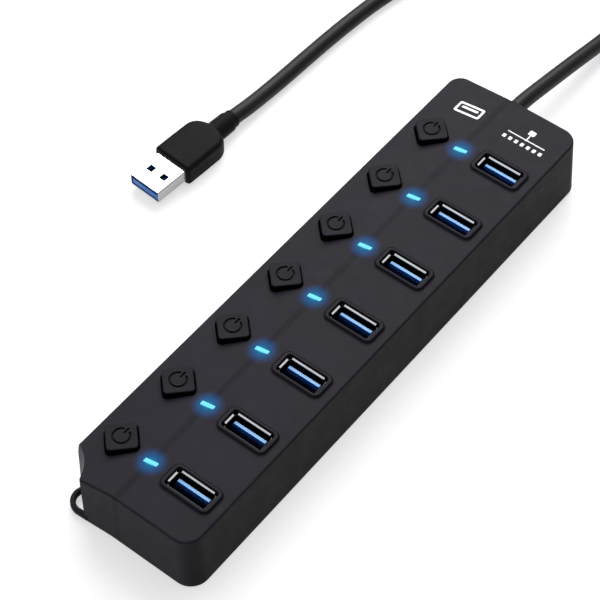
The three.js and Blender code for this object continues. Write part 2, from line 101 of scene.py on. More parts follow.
CORNER_CUT = 107.9  # the near left corner is cut off where x + y is below the negative of this
STRAP_TOP_Z = 2.6
STRAP_BAR = 1.6
STRAP_RADIUS = 4.8
STRAP_CENTRE = Vector((-17.5, STRAP_RADIUS - BASE_HALF.y - END_SPLAY))

SHELL_LOW, SHELL_HIGH = span("port_shell_1")
SHELL_HALF = Vector(((SHELL_HIGH.x - SHELL_LOW.x) / 2, (SHELL_HIGH.y - SHELL_LOW.y) / 2))
SHELL_WALL = 0.3
COLLAR_HALF = Vector((8.3, 4.3))
MOUTH_HALF = Vector((7.0, 3.3))
TONGUE_HALF = Vector((5.9, 0.92))
TONGUE_Y = 0.95  # from the middle of the socket towards the far end
TONGUE_TOP_Z = span("port_insulator_1")[1].z
INSULATOR_BASE_Z = 9.5
LIP_LOW_Z = SHELL_HIGH.z - 0.35
LIP_REACH = 0.22
LIP_SINK = 0.6  # the near and right lips sit this much lower in the mouth
CONTACT_X = (-3.5, -1.0, 1.0, 3.5)
TIP_CONTACT_X = (-4.35, -2.25, 0.0, 2.25, 4.35)
SPRING_X = (-2.6, 2.6)

CAP_SIDE = 8.8
CAP_TOP_Z = span("button_cap_1")[1].z
CAP_CORNER = 1.1
CAP_GAP = 0.4  # between a cap and the edge of its opening
WINDOW_HALF = Vector((2.0, 0.62))
WINDOW_SKEW = 0.17  # how far a window's long sides rise towards the far end for each millimetre of x

SCREWS = range(1, 5)
FEET = ("foot_front", "foot_rear")
GLAND_LOW, GLAND_HIGH = span("cable_gland")
EXIT = Vector((middle("cable_gland").x, GLAND_HIGH.y, middle("cable_gland").z))
CORD_DIAMETER = 5.2
REST_Z = CORD_DIAMETER / 2
COIL_CENTRE = middle("cable_coil").xy
COIL_RADIUS = 26.5
COIL_OUTER = COIL_RADIUS + CORD_DIAMETER * 0.505  # the two turns on the floor just clear each other
COIL_INNER = COIL_RADIUS - CORD_DIAMETER * 0.505
GROOVE_RISE = CORD_DIAMETER * 0.87  # how far above them the strand in their groove lies

PLUG_MATRIX = Matrix.Translation((-78.0, 5.6, 3.9)) @ Matrix.Rotation(math.radians(-3.9), 4, "Z")
PLUG_SHELL_HALF = Vector((6.0, 2.25))
PLUG_BARE = 12.2  # length of the steel shell in front of the body
PLUG_END = 39.5
PLUG_TOP_Z = PLUG_MATRIX.translation.z + PLUG_SHELL_HALF.y


# ---------------------------------------------------------------- camera, floor and light

AZIMUTH = math.radians(38.19)
ELEVATION = math.radians(52.23)
CAMERA_PLACE = Vector((0.222495, -0.299234, 0.496934))
SENSOR = 36.0
REACH = 3.53  # how many times farther than wide the picture is
LIGHT_PLACE = Vector((-0.4, 0.62, 0.72))
LIGHT_TARGET = Vector((-0.03, 0.03, 0))
LIGHT_SIZE = 0.9
LIGHT_POWER = 10


def in_scene(name, data):
    """A new object that is part of the scene."""
    made = bpy.data.objects.new(name, data)
    bpy.context.scene.collection.objects.link(made)
    return made


def camera():
    data = bpy.data.cameras.new("camera")
    data.sensor_width = SENSOR
    data.lens = SENSOR * REACH
    made = in_scene("camera", data)
    made.location = CAMERA_PLACE
    made.rotation_euler = (math.pi / 2 - ELEVATION, 0, AZIMUTH)
    bpy.context.scene.camera = made


def overhead_light():
    data = bpy.data.lights.new("overhead", "AREA")
    data.shape = "DISK"
    data.size = LIGHT_SIZE
    data.energy = LIGHT_POWER
    made = in_scene("overhead", data)
    made.location = LIGHT_PLACE
    made.rotation_mode = "QUATERNION"
    made.rotation_quaternion = (LIGHT_TARGET - LIGHT_PLACE).to_track_quat("-Z", "Y")


camera()
bpy.context.scene.view_settings.view_transform = "Standard"


# ---------------------------------------------------------------- solids, in millimetres


def mesh_of(points, faces):
    mesh = bpy.data.meshes.new("solid")
    mesh.from_pydata([tuple(p) for p in points], [], faces)
    outward = bmesh.new()
    outward.from_mesh(mesh)
    bmesh.ops.recalc_face_normals(outward, faces=outward.faces)
    outward.to_mesh(mesh)
    outward.free()
    return mesh


def loft(rings, closed=False, fans=None):
    """A skin through rings of equal point counts. Its two ends are single faces, or the faces that
    fans gives for a ring; a closed one joins its last ring to its first instead."""
    count = len(rings[0])
    points = [p for ring in rings for p in ring]
    faces = []
    for r in range(len(rings) if closed else len(rings) - 1):
        low = r * count
        high = (r + 1) % len(rings) * count
        for i in range(count):
            j = (i + 1) % count
            faces.append((low + i, low + j, high + j, high + i))
    if not closed:
        last = len(points) - count
        for face in fans or [tuple(range(count))]:
            faces.append(tuple(reversed(face)))
            faces.append(tuple(last + i for i in face))
    return mesh_of(points, faces)


def rounded_rect(half, radius, steps=6):
    """An outline that can grow: a function of how far it is moved outwards, giving x, y points."""

    def outline(growth=0.0):
        r = max(radius + growth, 0.02)
        x = half[0] + growth - r
        y = half[1] + growth - r
        points = []
        for sx, sy, start in ((1, -1, 270), (1, 1, 0), (-1, 1, 90), (-1, -1, 180)):
            for step in range(steps + 1):
                angle = math.radians(start + 90 * step / steps)
                points.append((sx * x + r * math.cos(angle), sy * y + r * math.sin(angle)))
        return points

    return outline


def circle(radius, segments=32):
    def outline(growth=0.0):
        angles = [2 * math.pi * i / segments for i in range(segments)]
        return [((radius + growth) * math.cos(a), (radius + growth) * math.sin(a)) for a in angles]

    return outline


def turned_by(outline, degrees):
    c = math.cos(math.radians(degrees))
    s = math.sin(math.radians(degrees))
    return lambda growth=0.0: [(c * x - s * y, s * x + c * y) for x, y in outline(growth)]


def level(x):
    return 0.0


def drop(x):
    """How far the top face lies below its flat part: it falls away on the left of the ridge, along
    which there is a shallow valley."""
    over = RIDGE_X - x
    valley = -RIDGE_GROOVE * math.exp(-((over / RIDGE_EASE) ** 2))
    return valley - LEFT_SLOPE * max(0.0, over)


def stack(outline, profile, x=0.0, y=0.0, tilt=level):
    """A solid whose outline grows or shrinks as it rises: profile holds (growth, height) pairs."""
    return loft([
        [(x + px, y + py, height + tilt(x + px)) for px, py in outline(growth)]
        for growth, height in profile
    ])


def quarter(radius, height, way=-1, steps=5):
    """Profile points round an edge that ends at height: way -1 rounds a solid's top, and way 1 the
    rim that a cutting solid leaves."""
    angles = [math.pi / 2 * i / steps for i in range(steps + 1)]
    return [(way * radius * (1 - math.cos(a)), height - radius * (1 - math.sin(a))) for a in angles]


def foot_round(radius, height, steps=4):
    """The same round at a solid's lower edge, which starts at height."""
    angles = [math.pi / 2 * i / steps for i in range(steps + 1)]
    return [(-radius * (1 - math.sin(a)), height + radius * (1 - math.cos(a))) for a in angles]


def fillet(radius, height, steps=5):
    """A hollow round from a level surface at height up into an upright wall."""
    angles = [math.pi / 2 * i / steps for i in range(steps + 1)]
    return [(radius * (1 - math.sin(a)), height + radius * (1 - math.cos(a))) for a in angles]


def block(half, low, high, x=0.0, y=0.0, radius=0.15):
    """An upright block with all its edges rounded."""
    profile = [*foot_round(radius, low, 2), *quarter(radius, high, steps=2)]
    return stack(rounded_rect(half, radius, 2), profile, x, y)


def combine(base, tool, operation):
    """base with tool joined to it or cut away from it."""
    pair = [in_scene("operand", mesh) for mesh in (base, tool)]
    modifier = pair[0].modifiers.new("operation", "BOOLEAN")
    modifier.operation = operation
    modifier.solver = "MANIFOLD"
    modifier.object = pair[1]
    graph = bpy.context.evaluated_depsgraph_get()
    result = bpy.data.meshes.new_from_object(pair[0].evaluated_get(graph))
    for operand in pair:
        bpy.data.objects.remove(operand)
    return result


def cut(base, *tools):
    for tool in tools:
        base = combine(base, tool, "DIFFERENCE")
    return base


def joined(base, *others):
    for other in others:
        base = combine(base, other, "UNION")
    return base


def together(meshes):
    """Separate solids in one mesh."""
    gathered = bmesh.new()
    for mesh in meshes:
        gathered.from_mesh(mesh)
    result = bpy.data.meshes.new("solids")
    gathered.to_mesh(result)
    gathered.free()
    return result


def placed(mesh, matrix):
    copy = mesh.copy()
    copy.transform(matrix)
    return copy


def piece(name, mesh, material, stands_for=(), body="housing", at=(0, 0, 0), sharp=35):
    """Turns a solid into a shown piece that rides on a body."""
    mesh = placed(mesh, Matrix.Diagonal((MM, MM, MM, 1)))
    mesh.name = name
    mesh.materials.clear()
    mesh.materials.append(material)
    mesh.shade_smooth()
    mesh.set_sharp_from_angle(angle=math.radians(sharp))
    made = in_scene(name, mesh)
    made.location = Vector(at) * MM
    made.modifiers.new("face_normals", "WEIGHTED_NORMAL").keep_sharp = True
    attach(made, body)
    if stands_for:
        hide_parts(*stands_for)
    return made


# ---------------------------------------------------------------- materials


def node(tree, kind, values=None, **settings):
    """Adds a node. values maps its input names or numbers to plain values or to other sockets."""
    made = tree.nodes.new(kind)
    for key, value in settings.items():
        setattr(made, key, value)
    for key, value in (values or {}).items():
        if isinstance(value, bpy.types.NodeSocket):
            tree.links.new(value, made.inputs[key])
        else:
            made.inputs[key].default_value = value
    return made


def maths(tree, operation, *values):
    made = node(tree, "ShaderNodeMath", dict(enumerate(values)), operation=operation)
    return made.outputs[0]


def coordinates(tree, kind="Object"):
    return node(tree, "ShaderNodeTexCoord").outputs[kind]


def split(tree, vector):
    return node(tree, "ShaderNodeSeparateXYZ", {0: vector}).outputs


def scaled(tree, colour, share):
    return node(tree, "ShaderNodeVectorMath", {0: colour, 1: share}, operation="MULTIPLY").outputs[0]


def between(tree, value, low, high, at_low, at_high):
    """at_low up to low, at_high from high on, and a straight change between them."""
    values = {"Value": value, "From Min": low, "From Max": high, "To Min": at_low, "To Max": at_high}
    return node(tree, "ShaderNodeMapRange", values).outputs[0]


def noise(tree, scale, detail=2.0, stretch=(1, 1, 1)):
    place = coordinates(tree)
    if stretch != (1, 1, 1):
        place = node(tree, "ShaderNodeMapping", {"Vector": place, "Scale": stretch}).outputs[0]
    values = {"Vector": place, "Scale": scale, "Detail": detail}
    return node(tree, "ShaderNodeTexNoise", values).outputs["Fac"]


def ramp(tree, factor, *stops):
    """A colour ramp through (position, grey or colour) stops."""
    made = node(tree, "ShaderNodeValToRGB", {"Fac": factor})
    elements = made.color_ramp.elements
    while len(elements) < len(stops):
        elements.new(0.5)
    for element, (position, colour) in zip(elements, stops):
        element.position = position
        element.color = (*colour, 1) if isinstance(colour, tuple) else (colour,) * 3 + (1,)
    return made.outputs["Color"]


def new_material(name, **sockets):
    """A material whose shader has the given values, and its node tree."""
    material = bpy.data.materials.new(name)
    material.use_nodes = True
    shader = material.node_tree.nodes["Principled BSDF"]
    for key, value in sockets.items():
        shader.inputs[key.replace("_", " ")].default_value = value
    return material, material.node_tree


def surfaced(material, tone, gloss, height, strength, depth):
    """Links a material's tone and gloss, and a relief whose depth is given in millimetres."""
    tree = material.node_tree
    shader = tree.nodes["Principled BSDF"]
    bump = node(tree, "ShaderNodeBump", {"Height": height, "Strength": strength, "Distance": depth * MM})
    tree.links.new(tone, shader.inputs["Base Color"])
    tree.links.new(gloss, shader.inputs["Roughness"])
    tree.links.new(bump.outputs[0], shader.inputs["Normal"])
    return material


def moulded(name, dark, light, roughness, grain=2600, relief=0.012, **sockets):
    """Moulded plastic or rubber: two close tones, an uneven gloss and a fine grain."""
    material, tree = new_material(name, **sockets)
    tone = ramp(tree, noise(tree, 55, 3), (0.3, dark), (0.7, light))
    gloss = ramp(tree, noise(tree, 240, 4), (0.3, roughness[0]), (0.7, roughness[1]))
    return surfaced(material, tone, gloss, noise(tree, grain, 2), 0.5, relief)


def height_share(tree, low, high, least=0.0):
    """Rises from least to 1 between two heights, given in millimetres."""
    return between(tree, split(tree, coordinates(tree))[2], low * MM, high * MM, least, 1.0)


def paint_shade_below(material, low, high, least):
    """Paints shade on a material: dulls its tone from the height high down to low, where the share least is
    left.
    """
    tree = material.node_tree
    socket = tree.nodes["Principled BSDF"].inputs["Base Color"]
    tone = socket.links[0].from_socket
    tree.links.new(scaled(tree, tone, height_share(tree, low, high, least)), socket)


def metal(name, dark, light, roughness, stretch=(1, 1, 12), shade=None):
    """Rolled or plated metal: fine lines along the way that it was drawn, and soft stains. shade is
    (low, high, least) and paints shade: below low the metal keeps only the share least of its tone."""
    material, tree = new_material(name, Metallic=1.0)
    lines = noise(tree, 900, 3, stretch)
    tone = ramp(tree, noise(tree, 160, 3), (0.3, dark), (0.7, light))
    # painted shade: the tone is dulled below the given height
    if shade:
        tone = scaled(tree, tone, height_share(tree, *shade))
    gloss = ramp(tree, lines, (0.3, roughness[0]), (0.7, roughness[1]))
    return surfaced(material, tone, gloss, lines, 0.15, 0.002)


# The painted glow round each lit window: its radius, its depth and its colours from edge to middle.
PAINTED_HALO_RADIUS = 5.2
PAINTED_HALO_DEPTH = 2.5  # how far below the top face the light still shows
PAINTED_HALO = ((0.0, (0, 0, 0)), (0.15, (0, 0.008, 0.03)), (0.3, (0, 0.025, 0.085)), (0.42, (0, 0.05, 0.155)),
        (0.55, (0, 0.075, 0.215)), (0.68, (0, 0.105, 0.265)), (0.82, (0, 0.19, 0.36)))


def painted_halo_share(tree, along, from_ridge):
    """Share of the painted glow: 1 at each window's middle and 0 from its radius on, alike at every station.
    """
    pitch = PORT_PITCH * MM
    first = STATION_Y[-1] * MM - pitch / 2
    last = STATION_Y[0] * MM + pitch / 2
    from_window = maths(tree, "FLOORED_MODULO", maths(tree, "SUBTRACT", along, first), pitch)
    from_window = maths(tree, "SUBTRACT", from_window, pitch / 2)
    squares = [maths(tree, "MULTIPLY", side, side) for side in (from_window, from_ridge)]
    distance = maths(tree, "SQRT", maths(tree, "ADD", *squares))
    near = maths(tree, "SUBTRACT", 1.0, maths(tree, "DIVIDE", distance, PAINTED_HALO_RADIUS * MM))
    stations = maths(tree, "LESS_THAN", along, last)
    return maths(tree, "MULTIPLY", maths(tree, "MAXIMUM", near, 0.0), stations)


def painted_light_and_shade(material):
    """Painted light: a blue glow painted over the plastic round each lit window, whose own tone is dulled
    there. Painted shade darkens the ridge, right wall and near end; a painted highlight lifts the cut
    corner."""
    tree = material.node_tree
    shader = tree.nodes["Principled BSDF"]
    x, y, z = split(tree, coordinates(tree))
    from_ridge = maths(tree, "SUBTRACT", x, RIDGE_X * MM)
    upper = maths(tree, "GREATER_THAN", z, (TOP_Z - PAINTED_HALO_DEPTH) * MM)
    near = maths(tree, "MULTIPLY", painted_halo_share(tree, y, from_ridge), upper)
    shader.inputs["Emission Strength"].default_value = 1.0
    tree.links.new(ramp(tree, near, *PAINTED_HALO), shader.inputs["Emission Color"])
    normal_x, normal_y, _ = split(tree, coordinates(tree, "Normal"))
    # painted shade and highlight: tone dulled in the glow, along the ridge, on the right wall and near end,
    # paler on the cut corner
    painted_shade_and_highlight_shares = [
        ramp(tree, near, (0.3, 1.0), (0.75, 0.4)),
        between(tree, maths(tree, "ABSOLUTE", from_ridge), 0.2 * MM, 1.6 * MM, 0.68, 1.0),
        between(tree, normal_x, 0.3, 0.98, 1.0, 0.3),
        between(tree, normal_y, -0.9, -0.1, 0.93, 1.0),
        between(tree, maths(tree, "ADD", normal_x, normal_y), -1.36, -1.2, 2.6, 1.0),
    ]
    tone = shader.inputs["Base Color"].links[0].from_socket
    for share in painted_shade_and_highlight_shares:
        tone = scaled(tree, tone, share)
    tree.links.new(tone, shader.inputs["Base Color"])


def lit_window(name):
    """A light pipe's clear plastic, lit from below and brightest in the middle of its window."""
    material = moulded(name, (0.02, 0.06, 0.08), (0.03, 0.08, 0.1), (0.4, 0.5),
                       Specular_IOR_Level=0.2, Emission_Color=(0.16, 0.8, 1.0, 1))
    tree = material.node_tree
    glow = ramp(tree, noise(tree, 700, 2), (0.2, 0.85), (0.8, 1.05))
    tree.links.new(glow, tree.nodes["Principled BSDF"].inputs["Emission Strength"])
    return material


def traced_board(name):
    """Green solder mask over copper lines."""
    material = moulded(name, (0.01, 0.1, 0.04), (0.015, 0.14, 0.05), (0.25, 0.4))
    tree = material.node_tree
    values = {"Vector": coordinates(tree), "Scale": 420, "Randomness": 0.4}
    lines = node(tree, "ShaderNodeTexVoronoi", values, distance="MANHATTAN")
    greens = ((0.42, (0.012, 0.11, 0.045)), (0.5, (0.03, 0.22, 0.09)))
    colour = ramp(tree, lines.outputs["Distance"], *greens)
    tree.links.new(colour, tree.nodes["Principled BSDF"].inputs["Base Color"])
    return material


def tongue_plastic_with_painted_shade(name):
    """The sockets' blue tongues: a painted highlight at the tip, and painted shade ever darker down in the
    mouth.
    """
    material = moulded(name, (0.02, 0.15, 0.55), (0.03, 0.19, 0.64), (0.3, 0.42), 2400, 0.008)
    tree = material.node_tree
    # painted light and shade: the tone falls from a pale tip to near black deep in the mouth
    depth = height_share(tree, TONGUE_TOP_Z - 3, TONGUE_TOP_Z)
    stops = ((0.0, (0.0, 0.01, 0.05)), (0.4, (0.003, 0.03, 0.16)), (0.9, (0.006, 0.055, 0.3)),
             (0.975, (0.02, 0.13, 0.5)), (0.995, (0.17, 0.45, 0.86)))
    tree.links.new(ramp(tree, depth, *stops), tree.nodes["Principled BSDF"].inputs["Base Color"])
    return material


def floor_material():
    glow = {"Emission_Color": (1, 1, 1, 1), "Emission_Strength": 0.55}
    return moulded("floor_paper", 0.5, 0.53, (0.75, 0.9), 900, 0.02, **glow)


SHEEN = 0.05  # specular level of the black plastics

HOUSING = moulded("satin_black_plastic_painted_light", (0.0182, 0.0168, 0.022), (0.0211, 0.0195, 0.0256), (0.46, 0.54),
                  Specular_IOR_Level=SHEEN)
# painted light: a glow round each window, painted shade on the ridge, right wall and near end, a painted
# highlight on the cut corner
painted_light_and_shade(HOUSING)
COVER = moulded("black_cover_plastic", (0.009, 0.009, 0.01), (0.012, 0.012, 0.013), (0.5, 0.6),
                Specular_IOR_Level=SHEEN)
BUTTON = moulded("black_button_plastic_painted_shade", (0.0135, 0.0124, 0.0165), (0.0158, 0.0145, 0.019), (0.45, 0.56),
                 Specular_IOR_Level=SHEEN)
# painted shade: the caps' sides darken below their lit faces
paint_shade_below(BUTTON, CAP_TOP_Z - 0.35, CAP_TOP_Z - 0.08, 0.12)
RUBBER = moulded("foot_rubber", 0.01, 0.016, (0.75, 0.9), 1500, 0.03, Specular_IOR_Level=SHEEN)
CORD = moulded("cord_pvc", (0.007, 0.007, 0.008), (0.01, 0.01, 0.011), (0.34, 0.44), 1800, 0.01,
               Specular_IOR_Level=0.16)
PLUG_PLASTIC = moulded("plug_pvc", 0.006, 0.0085, (0.32, 0.42), 2200, 0.008, Specular_IOR_Level=0.03)
BLUE = moulded("blue_insulator", (0.02, 0.15, 0.55), (0.03, 0.19, 0.64), (0.3, 0.42), 2400, 0.008)
PAINTED_SHADE_TONGUE = tongue_plastic_with_painted_shade("blue_tongue_painted_shade")
NICKEL = ((0.82, 0.82, 0.83), (0.92, 0.92, 0.925), (0.2, 0.3), (1, 1, 12))
# painted shade: the plug shell's sides keep half the tone of its lit top face
PLUG_STEEL_PAINTED_SHADE = metal("nickel_plated_steel_painted_shade", *NICKEL, shade=(PLUG_TOP_Z - 0.25, PLUG_TOP_Z - 0.05, 0.5))
# painted shade: the socket shells go nearly black below their lips, down in the mouth
SOCKET_STEEL_PAINTED_SHADE = metal("socket_steel_painted_shade", *NICKEL, shade=(LIP_LOW_Z - 0.15, LIP_LOW_Z + 0.05, 0.03))
SCREW = metal("zinc_screw", (0.42, 0.43, 0.45), (0.6, 0.6, 0.62), (0.25, 0.42), (1, 1, 3))
GOLD = metal("gold_contact", (0.72, 0.5, 0.18), (0.85, 0.62, 0.26), (0.18, 0.32))
# painted shade: a dimmed copy of the gold for the contacts down in the sockets
PAINTED_SHADE_GOLD = metal("painted_shade_contact", (0.2, 0.16, 0.1), (0.26, 0.2, 0.13), (0.3, 0.4))
INK = moulded("white_ink", 0.8, 0.88, (0.5, 0.65), 3000, 0.004)
WINDOW = lit_window("lit_window")
BOARD = traced_board("solder_mask")
CHIP = moulded("chip_epoxy", (0.008, 0.008, 0.009), (0.013, 0.013, 0.014), (0.4, 0.55), 4000, 0.01)
SWITCH = moulded("switch_plastic", (0.012, 0.012, 0.013), (0.018, 0.018, 0.02), (0.4, 0.55))
PLUNGER = moulded("plunger_plastic", (0.62, 0.62, 0.6), (0.72, 0.72, 0.7), (0.4, 0.5))
TIE = moulded("woven_tie", (0.01, 0.01, 0.011), (0.03, 0.03, 0.032), (0.8, 0.95), 1400, 0.12)

overhead_light()


def world():
    """Soft light from above, weaker from in front of the hub and from its right."""
    made = bpy.data.worlds.new("studio")
    bpy.context.scene.world = made
    made.use_nodes = True
    tree = made.node_tree
    x, y, z = split(tree, coordinates(tree, "Generated"))
    sky = ramp(tree, z, (0.0, 0.1), (0.15, 0.14), (0.45, 0.8), (0.75, 1.1))
    sky = scaled(tree, sky, between(tree, y, -0.8, 0.3, 0.45, 1.05))
    sky = scaled(tree, sky, between(tree, x, 0.1, 0.9, 1.0, 0.4))
    background = tree.nodes["Background"]
    tree.links.new(sky, background.inputs["Color"])
    background.inputs["Strength"].default_value = 1.0


world()


def floor():
    half = 1600.0
    sheet = stack(rounded_rect((half, half), 200, 8), [(0, -12), (0, -0.02)])
    mesh = placed(sheet, Matrix.Diagonal((MM, MM, MM, 1)))
    mesh.materials.append(floor_material())
    in_scene("floor", mesh)


floor()


# ---------------------------------------------------------------- lead

RUN = [
    (-4.3, 98, 10.6), (-4.2, 103.5, 10.2), (-3.9, 110, 9.4), (-3.5, 117, 8.5), (-3.1, 124, 7.6),
    (-2.7, 131, 6.6), (-2.3, 138, 5.5), (-2.0, 145, 4.4), (-1.9, 152, 3.4), (-1.9, 159, 2.8),
    (-2.2, 165.5, REST_Z), (-2.6, 172, REST_Z), (-2.9, 178, REST_Z), (-2.9, 187.3, REST_Z),
]
OVER_THE_COIL = [(-58.5, 190.3, 7.5), (-58.55, 184.3, 7.9), (-58.6, 179.1, 7.6)]
RETURN = [
    (-58.7, 174.6, 6.9), (-59.9, 167, 5.2), (-61.5, 159.5, 3.6), (-63.4, 152, 2.8),
    (-65.5, 144.5, REST_Z), (-67.8, 135.5, REST_Z), (-70.0, 125.5, REST_Z), (-71.8, 115, REST_Z),
    (-72.9, 103.5, REST_Z), (-73.6, 92, REST_Z), (-74.0, 80.5, REST_Z), (-74.3, 70, REST_Z),
    (-74.6, 60.5, 2.8),
]
TIE_ANGLE = 90
TIE_THICKNESS = 0.45


def glide(angle, start, end):
    """0 before start, 1 after end and a smooth change between."""
    t = min(1.0, max(0.0, (angle - start) / (end - start)))
    return t * t * (3 - 2 * t)


def coil_points():
    """Two turns side by side on the floor and half a turn in the groove between them."""
    groove_z = REST_Z + GROOVE_RISE
    crossing_z = groove_z + 0.8
    points = []
    for angle in range(0, 901, 15):
        radius = COIL_OUTER + (COIL_INNER - COIL_OUTER) * glide(angle, 270, 350)
        radius += (COIL_RADIUS - COIL_INNER) * glide(angle, 650, 700)
        height = REST_Z + (crossing_z - REST_Z) * glide(angle, 615, 675)
        height += (groove_z - crossing_z) * glide(angle, 690, 720)
        from_tie = (angle - TIE_ANGLE + 180) % 360 - 180
        height += TIE_THICKNESS * math.exp(-((from_tie / 22) ** 2))
        turn = math.radians(angle)
        x = COIL_CENTRE.x + radius * math.cos(turn)
        y = COIL_CENTRE.y + radius * math.sin(turn)
        points.append((x, y, height))
    return points


def plug_point(along, height):
    return tuple(PLUG_MATRIX @ Vector((0, along, height)))


def cord():
    route = [(EXIT.x, GLAND_LOW.y + 2, EXIT.z), *RUN, *coil_points(), *OVER_THE_COIL, *RETURN]
    route += [plug_point(PLUG_END + 7, -0.5), plug_point(PLUG_END, 0), plug_point(PLUG_END - 9, 0)]
    curve = bpy.data.curves.new("lead", "CURVE")
    curve.dimensions = "3D"
    curve.resolution_u = 8
    curve.bevel_depth = CORD_DIAMETER / 2 * MM
    curve.bevel_resolution = 7
    curve.use_fill_caps = True
    curve.materials.append(CORD)
    spline = curve.splines.new("BEZIER")
    spline.bezier_points.add(len(route) - 1)
    for point, place in zip(spline.bezier_points, route):
        point.co = Vector(place) * MM
        point.handle_left_type = "AUTO"
        point.handle_right_type = "AUTO"
    made = in_scene("lead", curve)
    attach(made, "housing")
    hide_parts("cable_run", "cable_coil", "cable_return")
    return made


LEAD = cord()


def hull_ring(circles, growth, segments=16):
    """The outline of a band drawn tight round circles of one radius, given by their centres."""
    points = []
    for i, centre in enumerate(circles):
        before = Vector(centre) - Vector(circles[i - 1])
        after = Vector(circles[(i + 1) % len(circles)]) - Vector(centre)
        start = math.atan2(before.y, before.x) - math.pi / 2
        sweep = (math.atan2(after.y, after.x) - math.atan2(before.y, before.x)) % (2 * math.pi)
        for step in range(segments + 1):
            angle = start + sweep * step / segments
            reach = REST_Z + growth
            points.append((centre[0] + reach * math.cos(angle), centre[1] + reach * math.sin(angle)))
    return points


def cable_tie():
    """A woven band round the three strands at the far side of the coil, with a tucked end."""
    width = 3.5
    low = REST_Z + TIE_THICKNESS
    strands = [(COIL_INNER, low), (COIL_OUTER, low), (COIL_RADIUS, low + GROOVE_RISE)]
    profile = [(0.02, -width), (TIE_THICKNESS - 0.1, -width), (TIE_THICKNESS, -width + 0.15),
               (TIE_THICKNESS, width - 0.15), (TIE_THICKNESS - 0.1, width), (0.02, width)]
    rings = []
    for growth, across in profile:
        rings.append([(-across, r, z) for r, z in hull_ring(strands, growth)])
    return placed(loft(rings, closed=True), Matrix.Translation((*COIL_CENTRE, 0)))


TIE_PIECE = piece("cable_tie", cable_tie(), TIE)


# ---------------------------------------------------------------- housing


def housing_ring(inset, height, rise):
    """One level of the housing's outline, as a front row from left to right and the rear row back.
    inset is measured from the outer surface, height is a function of x, and rise is 0 at the foot
    and 1 at the top face."""
    left = BASE_HALF.x - inset - LEFT_DRAFT * rise
    right = BASE_HALF.x - inset - RIGHT_DRAFT * rise
    half_y = BASE_HALF.y - inset - END_DRAFT * rise
    tighter = CORNER_EASE * rise + inset * 0.35
    left_radius = LEFT_CORNER_RADIUS - tighter
    right_radius = CORNER_RADIUS - tighter
    steps = 10
    front = []
    for centre_x, radius, start, splay in (
        (left_radius - left, left_radius, 180, END_SPLAY),
        (right - right_radius, right_radius, 270, 0),
    ):
        centre_y = radius - half_y - splay
        for step in range(steps + 1):
            angle = math.radians(start + 90 * step / steps)
            front.append((centre_x + radius * math.cos(angle), centre_y + radius * math.sin(angle)))
        if start == 180:
            front += [(RIDGE_X + RIDGE_EASE * s / 5, -half_y) for s in range(-11, 12)]
    ring = front + [(x, -y) for x, y in reversed(front)]
    return [(x, y, height(x)) for x, y in ring]


def strip_faces(count):
    """The faces that close a housing ring: one strip between each front pair and rear pair."""
    return [(i, i + 1, count - 2 - i, count - 1 - i) for i in range(count // 2 - 1)]


def housing_form(inset, levels):
    """levels holds (further inset, height function, rise) from the foot to the top face."""
    rings = [housing_ring(inset + more, height, rise) for more, height, rise in levels]
    return loft(rings, fans=strip_faces(len(rings[0])))


def outer_form():
    levels = [(-growth, lambda x, z=z: z, 0) for growth, z in foot_round(FOOT_ROUND, WALL_FOOT_Z)]
    for growth, z in quarter(EDGE_ROUND, 0, steps=8):
        levels.append((-growth, lambda x, z=z: TOP_Z + drop(x) + z, 1))
    return housing_form(0, levels)


def inner_form():
    levels = [(0, lambda x: -1.0, 0), (0, lambda x: TOP_Z + drop(x) - TOP_PLATE, 1)]
    return housing_form(WALL, levels)


def beyond(normal, distance, near, size=60):
    """A block beyond the plane normal.p = distance, centred over the point near."""
    cube = bmesh.new()
    bmesh.ops.create_cube(cube, size=size)
    mesh = bpy.data.meshes.new("block")
    cube.to_mesh(mesh)
    cube.free()
    foot = near + normal * (distance - normal.dot(near))
    turn = normal.to_track_quat("Z", "Y").to_matrix().to_4x4()
    return placed(mesh, Matrix.Translation(foot + normal * size / 2) @ turn)


def round_between(a, b, radius, near, steps=4):
    """Blocks that round the edge where the planes a and b, each (normal, distance), meet."""
    blocks = []
    cosine = a[0].dot(b[0])
    level_a = a[1] - radius
    level_b = b[1] - radius
    share_a = (level_a - cosine * level_b) / (1 - cosine * cosine)
    share_b = (level_b - cosine * level_a) / (1 - cosine * cosine)
    axis = a[0] * share_a + b[0] * share_b
    for step in range(1, steps + 1):
        normal = a[0].slerp(b[0], step / (steps + 1)).normalized()
        blocks.append(beyond(normal, normal.dot(axis) + radius, near))
    return blocks


def plane_at(normal, point):
    normal = Vector(normal).normalized()
    return normal, normal.dot(Vector(point))


CUT_PLANE = plane_at((-1, -1, 0), (-CORNER_CUT, 0, 0))
CORNER_NEAR = Vector((-BASE_HALF.x + 4, -BASE_HALF.y + 4, 12))
WALL_RISE = TOP_Z - EDGE_ROUND - WALL_FOOT_Z - FOOT_ROUND

SCOOP_DEPTH = 1.15
SCOOP_RADIUS = 14.5
SCOOP_LEAN = 0.2  # how far the scoop runs out to the slice for each millimetre down
SCOOP_MIDDLE = Vector((-20.3, -87.3, 18.2))  # on the top edge of the slice


def corner_scoop():
    """The round cutter that leaves a thin curved facet along the top of the slice."""
    inward = Vector((1, 1, 0)).normalized()
    aside = Vector((-1, 1, 0)).normalized()
    outline = rounded_rect((SCOOP_RADIUS, SCOOP_RADIUS), SCOOP_RADIUS - 0.01, 24)
    round_bar = stack(outline, [(0, -8), (0, 8)])
    centre = SCOOP_MIDDLE + (SCOOP_DEPTH - SCOOP_RADIUS) * inward
    tilt = Matrix.Rotation(math.atan(SCOOP_LEAN), 4, aside)
    return placed(round_bar, Matrix.Translation(centre) @ tilt)


